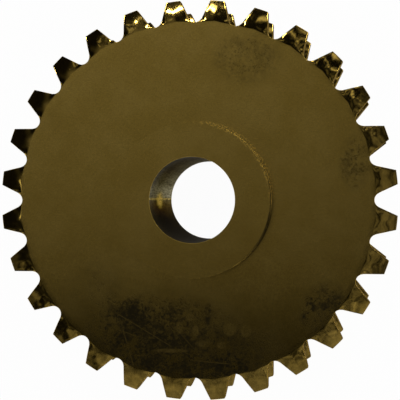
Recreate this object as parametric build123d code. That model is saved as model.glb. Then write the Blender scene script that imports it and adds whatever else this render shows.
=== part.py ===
from build123d import *
import os
from math import cos, pi, radians, sin, tan

# Double sprocket for two separate single-strand chains that run side by side.
# It is one turned piece, symmetric end for end. Its axis is +Z and its origin is the centre
# of the end face that it stands on. Millimetres and degrees throughout.

# Chain
chain_pitch = 12.7
plate_height = 11.8  # the tallest side plate

# Teeth
teeth = 28
tooth_width = 7.0
seat_radius = 2.38  # round bottom of each gap, centred on the pitch circle
flank_angle = 25.0  # each flank, from the middle line of its gap
tip_above_pitch = 4.73
side_relief = 1.65  # how far each tooth side has fallen back at the tip
relief_reach = 6.26  # from the tip inwards, where that bevel starts

# Rows
row_spacing = 23.3  # middle of one row to the middle of the other
plate_clearance = 0.9  # under the chain's plates, in the channel between the rows
channel_chamfer = 0.8  # in the channel's two corners

# Hub
bore_diameter = 26.0
hub_diameter = 47.0
hub_projection = 6.2  # of each hub boss beyond its row
hub_chamfer = 0.4  # in the corner where a boss meets its row
edge_break = 0.15  # on the boss rims and bore mouths

# What follows from these
pitch_radius = chain_pitch / (2 * sin(pi / teeth))
root_radius = pitch_radius - seat_radius
tip_radius = pitch_radius + tip_above_pitch
plate_line = pitch_radius * cos(pi / teeth)  # middle of a plate lying across two gaps
channel_radius = plate_line - plate_height / 2 - plate_clearance
total_length = row_spacing + tooth_width + 2 * hub_projection


def half_section():
    """Half of the turned blank's section, from one end face to the middle of its length."""
    outer_face = hub_projection
    inner_face = hub_projection + tooth_width
    middle = total_length / 2
    bevel_start = tip_radius - relief_reach
    bore, hub = bore_diameter / 2, hub_diameter / 2
    outline = Polyline(
        (bore, middle),
        (bore, 0),
        (hub, 0),
        (hub, outer_face),
        (bevel_start, outer_face),
        (tip_radius, outer_face + side_relief),
        (tip_radius, inner_face - side_relief),
        (bevel_start, inner_face),
        (channel_radius, inner_face),
        (channel_radius, middle),
        close=True,
    )
    face = make_face(outline)

    def corner(radius, height):
        return face.vertices().sort_by_distance((radius, height, 0))[0]

    face = chamfer([corner(bore, 0), corner(hub, 0)], edge_break)
    face = chamfer(corner(hub, outer_face), hub_chamfer)
    return chamfer(corner(channel_radius, inner_face), channel_chamfer)


def turned_blank():
    """The blank as it leaves the lathe: hub, two plain rims with relieved sides, and bore."""
    half = revolve(Plane.XZ * half_section(), Axis.Z)
    other_half = mirror(half, Plane.XY.offset(total_length / 2))
    return half + other_half


def tooth_gap():
    """Outline of the gap between two teeth: a round seat, and straight flanks past the tips."""
    lean = radians(flank_angle)
    seat_end_x = pitch_radius - seat_radius * sin(lean)
    seat_end_y = seat_radius * cos(lean)
    mouth_x = tip_radius + seat_radius
    mouth_y = seat_end_y + (mouth_x - seat_end_x) * tan(lean)
    seat = ThreePointArc(
        (seat_end_x, -seat_end_y), (root_radius, 0), (seat_end_x, seat_end_y)
    )
    flanks_and_mouth = Polyline(
        (seat_end_x, seat_end_y),
        (mouth_x, mouth_y),
        (mouth_x, -mouth_y),
        (seat_end_x, -seat_end_y),
    )
    return make_face([seat, flanks_and_mouth])


def gap_cutters():
    """One cutter for each gap, as long as the hub, so both rows are cut in one pass."""
    cutter = extrude(tooth_gap(), total_length)
    return [place * cutter for place in PolarLocations(0, teeth)]


sprocket = turned_blank() - gap_cutters()

os.makedirs("parts", exist_ok=True)
export_step(sprocket, "parts/sprocket.step")

print("pitch circle", round(2 * pitch_radius, 2), "root circle", round(2 * root_radius, 2))
print("tip circle", round(2 * tip_radius, 2), "channel", round(2 * channel_radius, 2))
print("length", round(total_length, 2), "volume in cm3", round(sprocket.volume / 1000, 2))
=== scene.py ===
# %% [markdown]
# # A double sprocket
# The part is one turned piece of yellow-passivated steel: a hub with a plain bore and a boss on
# each face, and two rows of teeth with a channel between them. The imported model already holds
# that form at its real size. This lesson gives it its worn teeth, its finish, its light and its
# camera. Lengths are metres, and +Z is the axis of the bore.

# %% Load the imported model
from math import atan2, cos, pi, radians, sin, sqrt

import bpy
import numpy as np
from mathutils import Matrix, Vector


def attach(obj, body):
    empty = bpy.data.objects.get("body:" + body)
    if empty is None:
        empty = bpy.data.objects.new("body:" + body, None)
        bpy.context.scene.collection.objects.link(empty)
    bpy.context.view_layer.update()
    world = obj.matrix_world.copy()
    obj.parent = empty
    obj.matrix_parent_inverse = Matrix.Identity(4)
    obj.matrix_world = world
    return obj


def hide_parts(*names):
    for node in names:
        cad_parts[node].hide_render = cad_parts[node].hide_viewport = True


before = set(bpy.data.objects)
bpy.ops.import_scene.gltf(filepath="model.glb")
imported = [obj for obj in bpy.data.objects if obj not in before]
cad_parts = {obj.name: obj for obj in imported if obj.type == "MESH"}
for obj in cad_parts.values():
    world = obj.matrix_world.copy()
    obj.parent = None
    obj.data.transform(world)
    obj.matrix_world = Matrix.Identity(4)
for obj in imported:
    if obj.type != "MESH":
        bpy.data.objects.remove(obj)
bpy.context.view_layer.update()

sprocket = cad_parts["sprocket"]

# %% [markdown]
# The skin and every pattern on it are placed by the sprocket's own sizes: the bore and the boss,
# the round seat and straight flanks of a tooth gap, and where the tooth sides start to fall back.

# %% Sizes of the sprocket
MM = 0.001
TEETH = 28
PITCH = 2 * pi / TEETH
PITCH_RADIUS = 56.713 * MM
SEAT_RADIUS = 2.38 * MM
LEAN = radians(25)
RELIEF_START, TIP_RADIUS = 54.6 * MM, 61.443 * MM
BORE_RADIUS, BOSS_RADIUS, CHANNEL_RADIUS = 13.0 * MM, 23.5 * MM, 49.56 * MM
END, FACE, ROW_MIDDLE = 21.35 * MM, 15.15 * MM, 11.65 * MM
print("pitch at the rim", round(PITCH * TIP_RADIUS / MM, 2), "mm")

# %% [markdown]
# The lathe and the cutter leave sharp, flat-sided teeth. On the real sprocket tumbling, plating
# and the chains have worn them: each tooth side is gently crowned and every edge is rounded, and
# that breaks the reflections up. A bevel modifier would round the edges but not crown the sides,
# so the whole skin is worked out as one grid. Its columns are rays from the axis, and its rings
# follow the section from the bore out over the teeth, down into the channel and back.

# %% Where a ray meets the toothed outline
def seat_end(seat):
    """Angle from a gap's middle line at which its round seat, of that radius, ends."""
    return atan2(seat * cos(LEAN), PITCH_RADIUS - seat * sin(LEAN))


def rim(off, inset):
    """Radius at which a ray leaves the toothed outline, once that has shrunk by inset all round.

    off is the ray's angle from the middle line of the nearest gap. Rays close to that line end
    on the gap's round seat, the next ones on its straight flank, the others on the tip circle.
    """
    seat = SEAT_RADIUS + inset
    across = np.minimum(PITCH_RADIUS * np.sin(off), seat)
    on_seat = PITCH_RADIUS * np.cos(off) - np.sqrt(seat ** 2 - across ** 2)
    on_flank = (PITCH_RADIUS * sin(LEAN) - seat) / np.sin(LEAN - off)
    return np.where(off < seat_end(seat), on_seat, np.minimum(on_flank, TIP_RADIUS - inset))


def half_gap(radius):
    """Angle from a gap's middle line to its wall, at that radius: by the seat's circle up to
    where the seat ends, and by the flank's straight line beyond."""
    flank = LEAN - np.arcsin((PITCH_RADIUS * sin(LEAN) - SEAT_RADIUS) / radius)
    cosine = radius ** 2 + PITCH_RADIUS ** 2 - SEAT_RADIUS ** 2
    seat = np.arccos(np.minimum(cosine / (2 * radius * PITCH_RADIUS), 1))
    end_squared = PITCH_RADIUS ** 2 + SEAT_RADIUS ** 2 - 2 * PITCH_RADIUS * SEAT_RADIUS * sin(LEAN)
    return np.where(radius < sqrt(end_squared), seat, flank)

# %% Rays over one pitch, closest together at the corners
ON_SEAT = np.array([0, 0.25, 0.5, 0.75])
ON_FLANK = np.array([0, 0.2, 0.4, 0.6, 0.8])
ON_TIP = np.array([0, 0.06, 0.14, 0.3, 0.5, 0.75, 1])
flank_start = seat_end(SEAT_RADIUS)
tip_start = float(half_gap(np.array(TIP_RADIUS)))
half_pitch = np.concatenate([
    flank_start * ON_SEAT,
    flank_start + (tip_start - flank_start) * ON_FLANK,
    tip_start + (PITCH / 2 - tip_start) * ON_TIP,
])
one_pitch = np.concatenate([half_pitch, PITCH - half_pitch[-2:0:-1]])
rays = (one_pitch[None, :] + PITCH * np.arange(TEETH)[:, None]).ravel()
from_gap = np.tile(np.minimum(one_pitch, PITCH - one_pitch), TEETH)
print("rays", rays.size)

# %% [markdown]
# A tooth side falls back towards the tip so that the chain slips on easily. On the worn part the
# bevel is a little rounded, and its foot line has stayed crisp except in the middle, where the
# face runs on into it. The chain's plates have rounded the corners at the foot of each tooth, and
# the edge that it climbs, on the counter-clockwise side, is worn up to the tip.

# %% How far a tooth side has fallen back
RELIEF = 1.6 * MM
STRAIGHT, CURVED = 0.62, 0.38
SOFT_FOOT, SOFT_REACH, SOFT_WIDTH = 0.35, 0.9, 0.3
CORNER_WEAR, EDGE_WEAR = 0.18 * MM, 0.08 * MM
MORE_WHERE_CLIMBED = 0.5
EDGE_RADIUS = 0.08 * MM
counter_clockwise = np.tile(one_pitch > PITCH / 2, TEETH)


def smooth(value, start, end):
    """0 before start, 1 after end, and three t squared minus two t cubed between."""
    t = np.clip((value - start) / (end - start), 0, 1)
    return t * t * (3 - 2 * t)


def fall_back(radius):
    """Depth of a tooth side under the row's flat face.

    way runs from 0 at the start of the relief to 1 at the tip, and across from 0 on the tooth's
    middle line to 1 at its flank. The bevel's depth has a part that grows with way and one that
    grows with way squared. A bell-shaped stretch round the middle line is filled up again near
    the foot. The corners at the foot sink by the fourth power of across, deeper on the side that
    the chain climbs, and the worn edge by its eighth power.
    """
    way = np.clip((radius - RELIEF_START) / (TIP_RADIUS - RELIEF_START), 0, 1)
    across = np.clip((PITCH / 2 - from_gap) / (PITCH / 2 - half_gap(radius)), 0, 1)
    bevel = STRAIGHT * way + CURVED * way ** 2
    bell = np.exp(-(across / SOFT_WIDTH) ** 2)
    filled = SOFT_FOOT * way * np.clip(1 - way / SOFT_REACH, 0, 1) ** 2 * bell
    at_foot = smooth(way, 0, 0.15) * (1 - smooth(way, 0.15, 0.5))
    up_the_edge = counter_clockwise * smooth(way, 0.1, 0.3) * (1 - smooth(way, 0.75, 1))
    climbed = 1 + MORE_WHERE_CLIMBED * counter_clockwise
    worn = CORNER_WEAR * climbed * at_foot * across ** 4 + EDGE_WEAR * up_the_edge * across ** 8
    return RELIEF * (bevel - filled) + worn

# %% Rings over the bore, the boss and the face
RIM_BREAK, HUB_CORNER, CHANNEL_CORNER = 0.006 * MM, 0.02 * MM, 0.8 * MM
MIDDLE_OF_FACE, NEAR_TEETH = 0.75 * CHANNEL_RADIUS, 53 * MM


def turned(radius, height):
    return np.full(rays.size, radius), np.full(rays.size, height)


bore_to_face = [
    turned(BORE_RADIUS, 0),
    turned(BORE_RADIUS, END - RIM_BREAK),
    turned(BORE_RADIUS + RIM_BREAK, END),
    turned(BOSS_RADIUS - RIM_BREAK, END),
    turned(BOSS_RADIUS, END - RIM_BREAK),
    turned(BOSS_RADIUS, FACE + HUB_CORNER),
    turned(BOSS_RADIUS + HUB_CORNER, FACE),
    turned(MIDDLE_OF_FACE, FACE),
    turned(NEAR_TEETH, FACE),
]
print("rings over bore, boss and face", len(bore_to_face))

# %% Rings over a tooth side and round its edge
SIDE_RINGS, LEAST_SIDE = 15, 0.05 * MM
EDGE_TURNS = radians(30), radians(60), radians(90)
rounded = rim(from_gap, EDGE_RADIUS)
relief_line = np.minimum(RELIEF_START, rounded - LEAST_SIDE)
tooth_side = []
for share in np.linspace(0, 1, SIDE_RINGS):
    radius = relief_line + (rounded - relief_line) * share
    tooth_side.append((radius, FACE - fall_back(radius)))
for turn in EDGE_TURNS:
    depth = fall_back(rounded) + EDGE_RADIUS * (1 - cos(turn))
    tooth_side.append((rim(from_gap, EDGE_RADIUS * (1 - sin(turn))), FACE - depth))
inner_side = [(radius, 2 * ROW_MIDDLE - height) for radius, height in tooth_side[::-1]]
channel = [
    turned(CHANNEL_RADIUS + CHANNEL_CORNER, 2 * ROW_MIDDLE - FACE),
    turned(CHANNEL_RADIUS, 2 * ROW_MIDDLE - FACE - CHANNEL_CORNER),
    turned(CHANNEL_RADIUS, 0),
]
front = bore_to_face + tooth_side + inner_side + channel
rings = front + [(radius, -height) for radius, height in front[-2:0:-1]]
print("rings", len(rings))

# %% The skin as one closed grid
SHARP_EDGE = radians(35)


def closed_grid(name, points):
    """A surface through points in rings and columns; the last of each joins up with the first."""
    ring_count, column_count = points.shape[:2]
    ring, column = np.indices((ring_count, column_count))
    next_ring = (ring + 1) % ring_count * column_count
    next_column = (column + 1) % column_count
    ring = ring * column_count
    corners = [ring + column, next_ring + column, next_ring + next_column, ring + next_column]
    quads = np.stack(corners, axis=2).astype(np.int32)
    mesh = bpy.data.meshes.new(name)
    mesh.vertices.add(ring_count * column_count)
    mesh.vertices.foreach_set("co", points.astype(np.float32).ravel())
    mesh.loops.add(quads.size)
    mesh.loops.foreach_set("vertex_index", quads.ravel())
    mesh.polygons.add(quads.size // 4)
    mesh.polygons.foreach_set("loop_start", np.arange(0, quads.size, 4, dtype=np.int32))
    mesh.update(calc_edges=True)
    mesh.shade_smooth()
    mesh.set_sharp_from_angle(angle=SHARP_EDGE)
    piece = bpy.data.objects.new(name, mesh)
    bpy.context.scene.collection.objects.link(piece)
    return piece


radius = np.array([ring[0] for ring in rings])
height = np.array([ring[1] for ring in rings]) + END
points = np.stack([radius * np.cos(rays), radius * np.sin(rays), height], axis=2)
skin = closed_grid("worn_sprocket", points)
skin.data.materials.append(sprocket.data.materials[0])
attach(skin, "root")
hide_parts("sprocket")

# %% Does the skin point outwards?
skin.data.calc_loop_triangles()
order = np.empty(3 * len(skin.data.loop_triangles), dtype=np.int32)
skin.data.loop_triangles.foreach_get("vertices", order)
a, b, c = points.reshape(-1, 3)[order.reshape(-1, 3)].transpose(1, 0, 2)
volume = np.einsum("ij,ij->", a, np.cross(b, c)) / 6
print("triangles", len(a), "volume in cm3", round(volume * 1e6, 2), "positive means outwards")

# %% [markdown]
# Shader maths is easier to read as arithmetic than as a list of nodes and links. A small class
# wraps one output socket, and adding, multiplying or comparing two of them adds the Math node.

# %% Shader maths as Python expressions
class Value:
    """One output socket of a node tree, usable in arithmetic."""

    def __init__(self, tree, socket):
        self.tree, self.socket = tree, socket

    def math(self, operation, *inputs):
        """A Math node of the same tree, on the inputs given."""
        return self.tree.node("ShaderNodeMath", {"operation": operation}, inputs)

    def __add__(self, other):
        return self.math("ADD", self, other)

    def __sub__(self, other):
        return self.math("SUBTRACT", self, other)

    def __rsub__(self, other):
        return self.math("SUBTRACT", other, self)

    def __mul__(self, other):
        return self.math("MULTIPLY", self, other)

    def __truediv__(self, other):
        return self.math("DIVIDE", self, other)

    def __pow__(self, other):
        return self.math("POWER", self, other)

    def __rpow__(self, other):
        return self.math("POWER", other, self)

    def __abs__(self):
        return self.math("ABSOLUTE", self)

    __radd__, __rmul__ = __add__, __mul__

    def beside(self, name):
        """Another output of the node that this one comes from."""
        return Value(self.tree, self.socket.node.outputs[name])

    def step(self, start, end):
        """0 before start, 1 after end, and a smooth rise between them."""
        edges = [self, start, end, 0.0, 1.0]
        return self.tree.node("ShaderNodeMapRange", {"interpolation_type": "SMOOTHSTEP"}, edges)


class Tree:
    """A material's or the world's node tree, with one method that adds any node."""

    def __init__(self, owner):
        owner.use_nodes = True
        self.links, self.nodes = owner.node_tree.links, owner.node_tree.nodes
        self.nodes.clear()

    def node(self, kind, settings=None, inputs=(), out=0):
        """Adds a node, applies its settings, then its inputs, and returns one of its outputs."""
        made = self.nodes.new(kind)
        for name, setting in (settings or {}).items():
            setattr(made, name, setting)
        pairs = inputs.items() if isinstance(inputs, dict) else enumerate(inputs)
        for key, given in pairs:
            if isinstance(given, Value):
                self.links.new(given.socket, made.inputs[key])
            elif given is not None:
                made.inputs[key].default_value = given
        return Value(self, made.outputs[out]) if made.outputs else None

    def noise(self, place, scale, detail, roughness):
        """Noise from 0 to 1, about 0.5 on average. Scale counts its lumps over one unit of place."""
        values = {"Vector": place, "Scale": scale, "Detail": detail, "Roughness": roughness}
        return self.node("ShaderNodeTexNoise", {}, values)

    def blend(self, share, first, second):
        """The colour first, turning into second as share goes from 0 to 1."""
        settings = {"data_type": "RGBA", "clamp_factor": True}
        return self.node("ShaderNodeMix", settings, {0: share, 6: first, 7: second}, 2)

# %% [markdown]
# The plating is a thin yellow-brown film on steel, so the surface is a metal with a dark gold
# colour, and nearly everything seen on it is a reflection. One material covers the sprocket. It
# reads where it is on the part: the distance from the axis tells bore, face and teeth apart, and
# the direction that the surface faces tells a wall from a side.

# %% Places on the sprocket
metal = sprocket.data.materials[0]
paint = Tree(metal)
place = paint.node("ShaderNodeTexCoord", out="Object")
x = paint.node("ShaderNodeSeparateXYZ", inputs=[place], out="X")
y, z = x.beside("Y"), x.beside("Z")
radius = (x * x + y * y) ** 0.5
facing = paint.node("ShaderNodeTexCoord", out="Normal")
upright = paint.node("ShaderNodeSeparateXYZ", inputs=[facing], out="Z")
wall = 1 - abs(upright).step(0.15, 0.4)
tooth = radius.step(RELIEF_START - 0.2 * MM, RELIEF_START + 0.2 * MM)
in_bore = 1 - radius.step(BORE_RADIUS + 0.05 * MM, BORE_RADIUS + 0.15 * MM)
print("nodes that tell the places apart", len(metal.node_tree.nodes))

# %% [markdown]
# Handling leaves faint clouds in the film, and under it shows the grain of the plated steel. One
# noise gives the clouds and two finer ones the grain, which is rougher low on the face. Hairlines
# in two directions are noise too, stretched until it turns into fine strokes. The numbers taken
# off keep the film's average near 1, so that it leaves the gold as it is.

# %% Clouds, grain and hairlines of the film
clouds = paint.noise(place, 95, 6, 0.65)
fine_grain = paint.noise(place, 2600, 3, 0.7)
coarse_grain = paint.noise(place, 1100, 4, 0.7)
STROKES_ALONG = 45


def hairlines(turn, spacing):
    """Fine straight marks in one direction: noise stretched long one way and narrow across."""
    along = x * cos(radians(turn)) + y * sin(radians(turn))
    across = y * cos(radians(turn)) - x * sin(radians(turn))
    stretched = paint.node("ShaderNodeCombineXYZ", inputs=[along * STROKES_ALONG, across * spacing])
    return paint.noise(stretched, 1, 3, 0.6)


hair = (hairlines(55, 1600) + hairlines(-38, 1300)) * 0.5
grain = 0.2 + 0.45 * (1 - y.step(-25 * MM, -8 * MM))
film = 0.375 + 0.08 * clouds + 0.88 * fine_grain + 0.2 * hair
film = film + grain * coarse_grain - 0.47 * grain

# %% [markdown]
# Old oil has dried into dark, blotchy stains low on the face, with smaller ones near the rim. Each
# stain is a soft oval, and noise eats into it, so that it has no clean outline. Where stains
# overlap, every further one darkens the metal by less, because each lets through a share of what
# the others let through. In the list, a stain is its middle, its half width and height, and depth.

# %% Dried oil
def oval(at_x, at_y, half_x, half_y, softness):
    """1 in the middle of an oval and 0 outside it. Sizes are millimetres; softness is up to 1."""
    across = (x - at_x * MM) / (half_x * MM)
    along = (y - at_y * MM) / (half_y * MM)
    return 1 - (across * across + along * along).step(1 - softness, 1 + softness)


blotch = paint.noise(place, 430, 9, 0.8)
broad = paint.noise(place, 150, 6, 0.7)
STAIN_SOFTNESS, CLEAR = 0.9, 0.3
stains = [
    (-8, -49, 31, 15, 0.36), (-10, -40, 17, 11, 0.25), (13, -49, 13, 9, 0.12),
    (-18.5, -35.5, 5, 5, 0.7), (-9.3, -37.3, 6, 5, 0.35), (-25, -40, 4, 9, 0.3),
    (-8, -43.7, 9, 2.5, 0.4), (-17.6, -48.8, 5, 4, 0.5), (10, -50.8, 6, 4, 0.7),
    (9, -50.8, 3, 1.6, 1.2), (-19.1, -34.7, 1.6, 2.2, 1.2), (-22.5, -43, 2.2, 1.6, 0.5),
    (-12, -42.5, 3, 1.2, 0.5), (-3, -52, 18, 5, 0.5), (4.1, -34.3, 0.8, 3, 0.6),
    (35.3, -31.5, 1.6, 2.2, 0.8), (40, -34, 6.5, 8, 0.45), (42, -31, 4, 2.5, 0.4),
    (33.5, -35.5, 1.5, 2, 0.6), (48.5, 11, 4, 7, 0.24), (16, 43, 9, 7, 0.15),
    (-30, -28, 8, 8, 0.12),
]
oil = 0
for at_x, at_y, half_x, half_y, depth in stains:
    oil = oil + depth * oval(at_x, at_y, half_x, half_y, STAIN_SOFTNESS)
uneven = 0.3 * broad + 0.45 * blotch + 0.25 * coarse_grain
oil = oil * (0.1 + 2.9 * uneven.step(0.43, 0.60) + 2.2 * coarse_grain.step(0.53, 0.66))
oil = 1 - CLEAR ** oil
# low darkens the face towards the bottom: painted shade, where the glow overhead ends.
low = 1 - y.step(-48 * MM, -20 * MM)

# %% [markdown]
# Thin scratches cross the stains, and in small places the oil has been wiped off. A scratch is
# the distance to a straight line between two points, a wiped place is an oval, and inside them
# the worn gold comes through. A scratch in the list is its two ends and its width.

# %% Scratches
TAPER = 2


def scratch(x0, y0, x1, y1, width):
    """1 on the straight line between two points, fading to 0 across its width. Millimetres."""
    length = sqrt((x1 - x0) ** 2 + (y1 - y0) ** 2)
    way_x, way_y = (x1 - x0) / length, (y1 - y0) / length
    from_x, from_y = x - x0 * MM, y - y0 * MM
    along = from_x * way_x + from_y * way_y
    side = abs(from_x * way_y - from_y * way_x)
    faded_in, faded_out = along.step(0, TAPER * MM), along.step((length - TAPER) * MM, length * MM)
    return faded_in * (1 - faded_out) * (1 - side.step(0.2 * width * MM, width * MM))


marks = [
    (-23.5, -36, -18.4, -53, 0.22), (-25, -34.5, -7, -45, 0.2), (-27, -39, -16, -42.5, 0.14),
    (-7, -38, 3, -49, 0.14), (-31, -24, -25, -38, 0.14), (-8, -24, 22, -26, 0.1),
    (33, -27, 52, -16, 0.16), (30, 22, 56, 35, 0.1), (-50, 30, -32, 42, 0.1),
    (-36, 44, -28, 33, 0.1), (-2, -49, 12, -50, 0.2),
]
wiped = [
    (-7.5, -46.2, 5.2, 0.6), (2.6, -43.9, 2.4, 1.0), (8.4, -44.3, 1.6, 1.0),
    (15.7, -39.8, 1.5, 1.9), (10.8, -39.4, 1.9, 1.9), (0.3, -40, 1, 1.8),
    (-4.6, -39.1, 1.1, 1.7), (-1.4, -35.8, 1.2, 1.2),
]
WIPED_CLEAN, WIPED_SOFTNESS = 1.1, 0.35
rubbed = 0
for mark in marks:
    rubbed = rubbed + scratch(*mark)
for smear in wiped:
    rubbed = rubbed + WIPED_CLEAN * oval(*smear, WIPED_SOFTNESS)
rubbed = rubbed * (0.2 + 0.8 * blotch.step(0.42, 0.58))
rubbed = rubbed.math("MINIMUM", rubbed, 1.0)
print("stains", len(stains), "scratches", len(marks), "wiped places", len(wiped))

# %% [markdown]
# The chains polish the tooth sides, while the walls of the teeth and of the channel stay a duller
# gold. The bore is bare grey steel, brown in its lower half, and its brightness along it is painted:
# a painted highlight a little above the middle, darker below, and a painted bright line and glint.
# Round the foot of the boss, painted highlights in gold flecks lie on the side towards the light,
# and a thin line of painted shade on the other.

# %% Colours
GOLD, WORN_GOLD = (0.335, 0.222, 0.043, 1), (0.37, 0.25, 0.055, 1)
# The two brightest golds are painted highlights: round the foot of the boss and in the bore.
DULL_GOLD, PAINTED_HIGHLIGHT_GOLD, PAINTED_GLINT = (0.22, 0.15, 0.036, 1), (0.75, 0.48, 0.09, 1), (1.0, 0.75, 0.25, 1)
# OIL_AND_SHADE colours the stains, and also a thin line of painted shade at the foot of the boss.
OIL_AND_SHADE, DARK = (0.024, 0.020, 0.011, 1), (0.09, 0.065, 0.025, 1)
GREY, HONEY = (0.30, 0.28, 0.20, 1), (0.30, 0.23, 0.09, 1)


def scaled(colour, amount):
    """The colour times a number."""
    settings = {"data_type": "RGBA", "blend_type": "MULTIPLY"}
    grey = paint.node("ShaderNodeCombineColor", inputs=[amount, amount, amount])
    return paint.node("ShaderNodeMix", settings, {0: 1.0, 6: colour, 7: grey}, 2)


plating = paint.blend(clouds.step(0.35, 0.7), GOLD, WORN_GOLD)
# Towards the bottom the face's colour is darkened by up to 0.42: painted shade, besides the stains.
face = scaled(plating, film * (1 - 0.42 * low * (1 - tooth)))
face = paint.blend(0.95 * oil * (1 - tooth) * (1 - wall), face, OIL_AND_SHADE)
face = paint.blend(rubbed * 0.36 * (1 - tooth), face, WORN_GOLD)

# %% Colours round the foot of the boss
turn = y.math("ARCTAN2", y, x)
flecks = paint.noise(place, 2000, 2, 0.6)
# On the side of the boss towards the light, painted highlights: bright gold flecks on its wall and
# round its foot.
highlight_side = turn.step(-0.1, 0.3) * (1 - turn.step(1.2, 1.7))
shaded_side = turn.step(-0.95, -0.5) * (1 - turn.step(-0.3, 0.0))
boss_wall = paint.blend(0.75 * flecks.step(0.5, 0.6) * highlight_side, DARK, PAINTED_HIGHLIGHT_GOLD)
near_boss = 1 - radius.step(BOSS_RADIUS + 0.4 * MM, BOSS_RADIUS + 0.6 * MM)
off_boss = abs(radius - (BOSS_RADIUS + 0.15 * MM))
foot = 1 - off_boss.step(0.3 * MM, 1.3 * MM)
scattered_highlight = (flecks + 0.1 * foot).step(0.58, 0.66)
face = paint.blend(0.9 * foot * highlight_side * scattered_highlight, face, PAINTED_HIGHLIGHT_GOLD)
# A thin line of painted shade round the foot of the boss, on the side away from the light.
painted_shade_line = 1 - off_boss.step(0.1 * MM, 0.35 * MM)
face = paint.blend(painted_shade_line * shaded_side * 0.8, face, OIL_AND_SHADE)

# %% [markdown]
# The brightness of the steel in the bore is painted: a painted highlight a little above the middle,
# and darker below it. The list gives where along Y each change of this painted brightness starts
# and ends, in millimetres, and how much it adds. The mouth is darker.

# %% Colour of the bore
upper_half = y.step(-2.0 * MM, 1.5 * MM)
changes = [(-7, -3, 0.08), (-4, 0, 0.12), (-1, 2, 0.22), (3.5, 5.5, -0.2), (6, 10, -0.1)]
painted_bore_light = 0.04
for start, end, change in changes:
    painted_bore_light = painted_bore_light + change * y.step(start * MM, end * MM)
painted_bore_light = painted_bore_light * (1 - 0.35 * z.step(34 * MM, 42 * MM))
along_bore = paint.node("ShaderNodeCombineXYZ", inputs=[x, y, z * 0.15])
scuffs = paint.noise(along_bore, 2200, 4, 0.7)
steel = paint.blend(upper_half, HONEY, GREY)
bore = scaled(steel, 2.9 * painted_bore_light * (0.45 + 1.1 * scuffs.step(0.32, 0.68)))
# Painted highlights: a bright line along the bore, and a painted glint round a point halfway up it.
line = 1 - abs(y - 0.3 * MM).step(0.1 * MM, 0.4 * MM)
up_the_bore = z - 24 * MM
off_painted_glint = (0.5 * y * y + 0.08 * up_the_bore * up_the_bore) ** 0.5
off_painted_glint = off_painted_glint.step(0.3 * MM, 2.4 * MM)
painted_shine = (0.6 * line + 1.2 - 1.2 * off_painted_glint) * scuffs.step(0.36, 0.5)
bore = paint.blend(painted_shine, bore, PAINTED_GLINT)
walls = paint.blend(near_boss, DULL_GOLD, boss_wall)
walls = paint.blend(in_bore, walls, bore)
colour = paint.blend(wall, face, walls)

# %% [markdown]
# The tooth sides are the shiniest, and the bore and the walls of the teeth the dullest. Fine arcs
# run round the axis on the tooth sides: noise on the radius and the turn gives them, and it is
# pressed lightly into the surface and darkens it a little. Specular Tint keeps the metal from
# turning white where it is seen from its side.

# %% Roughness and fine relief
round_the_axis = paint.node("ShaderNodeCombineXYZ", inputs=[radius * 600, turn * 14, z * 300])
streaks = paint.noise(round_the_axis, 1, 3, 0.5)
past_boss = radius.step(30 * MM, 40 * MM)
rough = 0.20 + 0.12 * oil - 0.15 * tooth + 0.04 * clouds
rough = rough + 0.34 * in_bore + 0.24 * wall * (past_boss + tooth)
bumps = streaks * 0.5 * tooth + 0.15 * fine_grain + 0.6 * blotch * tooth
pressed = {"Strength": 0.25, "Distance": 0.03 * MM, "Height": bumps}
relief = paint.node("ShaderNodeBump", {}, pressed)
cut = streaks.step(0.35, 0.65)
colour = scaled(colour, 1 - tooth * (1 - wall) * (0.25 - 0.25 * cut))
values = {"Base Color": colour, "Metallic": 1.0, "Roughness": rough, "Normal": relief,
          "Specular Tint": (0.22, 0.19, 0.12, 1)}
shader = paint.node("ShaderNodeBsdfPrincipled", {}, values)
paint.node("ShaderNodeOutputMaterial", {}, [shader])
print("nodes of the metal", len(metal.node_tree.nodes))

# %% [markdown]
# The sprocket lies on one boss on a white table. The camera and the mirror-like metal see the
# floor as pure white; for all other light it is a matt white surface, so that it keeps the
# sprocket's shadow.

# %% Floor
def flat_square(name, half):
    """A square on the ground, as wide as twice half."""
    corners = [(-half, -half, 0), (half, -half, 0), (half, half, 0), (-half, half, 0)]
    mesh = bpy.data.meshes.new(name)
    mesh.from_pydata(corners, [], [(0, 1, 2, 3)])
    piece = bpy.data.objects.new(name, mesh)
    bpy.context.scene.collection.objects.link(piece)
    return piece


FLOOR_HALF, SEEN_AS_WHITE = 6.0, 0.97
floor = flat_square("floor", FLOOR_HALF)
floor.data.materials.append(bpy.data.materials.new("floor"))
ground = Tree(floor.data.materials[0])
camera_ray = ground.node("ShaderNodeLightPath", out="Is Camera Ray")
seen = camera_ray.beside("Is Glossy Ray") + camera_ray.beside("Is Transmission Ray") + camera_ray
matt = ground.node("ShaderNodeBsdfDiffuse", {}, {"Color": (0.8, 0.8, 0.8, 1)})
white = ground.node("ShaderNodeEmission", {}, {"Color": (1, 1, 1, 1), "Strength": 1.0})
mixed = ground.node("ShaderNodeMixShader", {}, [seen * SEEN_AS_WHITE, matt, white])
ground.node("ShaderNodeOutputMaterial", {}, [mixed])

# %% [markdown]
# Bright metal shows what stands round it. Overhead the room is dark but for a soft glow, which
# the flat face mirrors, and the face is darker low down because the glow ends there. On the left
# it fades out slowly, so the feet of the left teeth look soft. The teeth mirror a broad light
# front with a torn upper edge, streaks on the right, a lighter patch on the left and mottled ones
# at the back. A bright band above the white horizon lights the walls. The camera itself sees the
# room as plain white.

# %% Directions in the room
def direction(azimuth, zenith):
    """Unit vector: azimuth counts from +X towards +Y, zenith is the angle from straight up."""
    turn, tilt = radians(azimuth), radians(zenith)
    return sin(tilt) * cos(turn), sin(tilt) * sin(turn), cos(tilt)


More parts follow.
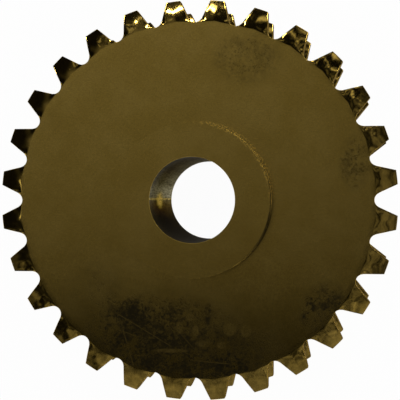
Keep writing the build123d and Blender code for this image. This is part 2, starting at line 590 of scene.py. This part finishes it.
world = bpy.data.worlds.new("studio")
bpy.context.scene.world = world
room = Tree(world)
way = room.node("ShaderNodeTexCoord", out="Generated")
east = room.node("ShaderNodeSeparateXYZ", inputs=[way], out="X")
north, up = east.beside("Y"), east.beside("Z")


def patch(azimuth, zenith, inner, outer):
    """1 within inner degrees of a direction, 0 beyond outer degrees, and smooth between."""
    settings, inputs = {"operation": "DOT_PRODUCT"}, [way, direction(azimuth, zenith)]
    along = room.node("ShaderNodeVectorMath", settings, inputs, "Value")
    return along.step(cos(radians(outer)), cos(radians(inner)))


# %% Brightness of the room
west = patch(180, 90, 40, 80)
height = up - 0.18 * (1 - west)
horizon = 1 - height.step(0.08, 0.24)
band = 1 - up.step(0.40, 0.54)
low_window = patch(35, 72, 40, 62) * height.step(-0.1, 0.0) * (1 - height.step(0.14, 0.24))
zenith = up.math("ARCCOSINE", up)
across = (east + 0.13) / 0.26
along = (north - 0.08) / 0.22
overhead = 1 - (across * across + along * along).step(0.8, 1.6)
fade = 0.02 + 0.20 * north.step(-0.10, -0.05) + 0.17 * north.step(-0.04, 0.2)
west_end = (1 - zenith.step(radians(24), radians(42))) * (1 - east.step(-0.25, -0.12))
overhead = overhead + 0.7 * (1 - overhead) * west_end
glow = overhead * fade * (1 - 0.25 * east.step(-0.15, 0.05))
uneven = room.noise(way, 6.0, 4, 0.65)
near_foot = 1 - zenith.step(radians(26), radians(42))
torn = room.noise(way, 17.0, 3, 0.6).step(0.46, 0.54)
front = patch(283, 52, 28, 40) * (0.6 + 0.4 * uneven.step(0.35, 0.6))
front = front * (1 - 0.9 * near_foot * torn)
rings = room.node("ShaderNodeCombineXYZ", inputs=[zenith * 9, east * 1.5, north * 1.5])
blinds = room.noise(rings, 2.2, 3, 0.6)
right = patch(352, 36, 14, 30) * blinds.step(0.42, 0.6)
left = patch(223, 50, 13, 25) * uneven.step(0.45, 0.6)
mottled = room.noise(way, 13.0, 3, 0.6).step(0.52, 0.62)
north_east = patch(56, 46, 14, 26) * mottled
north_west = patch(121, 36, 4, 9) * mottled
light = 0.012 + 0.988 * horizon + 2.0 * band + 1.5 * low_window + glow
light = light + 0.43 * front + 0.28 * right + 0.32 * left + 1.5 * north_east + 1.1 * north_west
camera_sees = room.node("ShaderNodeLightPath", out="Is Camera Ray")
shown = light * (1 - camera_sees) + camera_sees
look = room.node("ShaderNodeBackground", {}, {"Color": (1, 1, 1, 1), "Strength": shown})
room.node("ShaderNodeOutputWorld", {}, [look])

# %% [markdown]
# Two lamps at the back make the bright bars across the upper teeth, and one on each side makes
# small lights on the others. Each is an area lamp, given by the brightness of its mirror image.

# %% Lamps
LAMP_DISTANCE = 1.2


def lamp(name, azimuth, zenith, wide, tall, brightness):
    """An area lamp facing the sprocket. wide and tall are the angles it fills, in degrees."""
    data = bpy.data.lights.new(name, "AREA")
    data.shape = "RECTANGLE"
    data.size = 2 * LAMP_DISTANCE * sin(radians(wide / 2))
    data.size_y = 2 * LAMP_DISTANCE * sin(radians(tall / 2))
    data.energy = brightness * pi * data.size * data.size_y
    piece = bpy.data.objects.new(name, data)
    bpy.context.scene.collection.objects.link(piece)
    outwards = Vector(direction(azimuth, zenith))
    piece.location = outwards * LAMP_DISTANCE
    piece.rotation_euler = outwards.to_track_quat("Z", "Y").to_euler()
    piece.visible_camera = False
    print(name, "is", round(data.size, 3), "by", round(data.size_y, 3), "m")


lamp("back_strip", 106, 41, 10, 2.2, 60)
lamp("back_spot", 97, 42, 4, 3, 10)
lamp("side_spot", 66, 56, 8, 8, 16)
lamp("left_spot", 178, 33, 4, 4, 1.5)

# %% [markdown]
# The photograph looks almost straight down from 37 centimetres, a little from the right.

# %% Camera
FOCAL_LENGTH, FILM_WIDTH = 99.156, 36
CAMERA_TILT = 0.1331
lens = bpy.data.cameras.new("camera")
lens.lens, lens.sensor_width = FOCAL_LENGTH, FILM_WIDTH
camera = bpy.data.objects.new("camera", lens)
camera.location = (46.317 * MM, 0, 370.046 * MM)
camera.rotation_euler = (0, CAMERA_TILT, 0)
bpy.context.scene.collection.objects.link(camera)
bpy.context.scene.camera = camera
bpy.context.scene.view_settings.view_transform = "Standard"
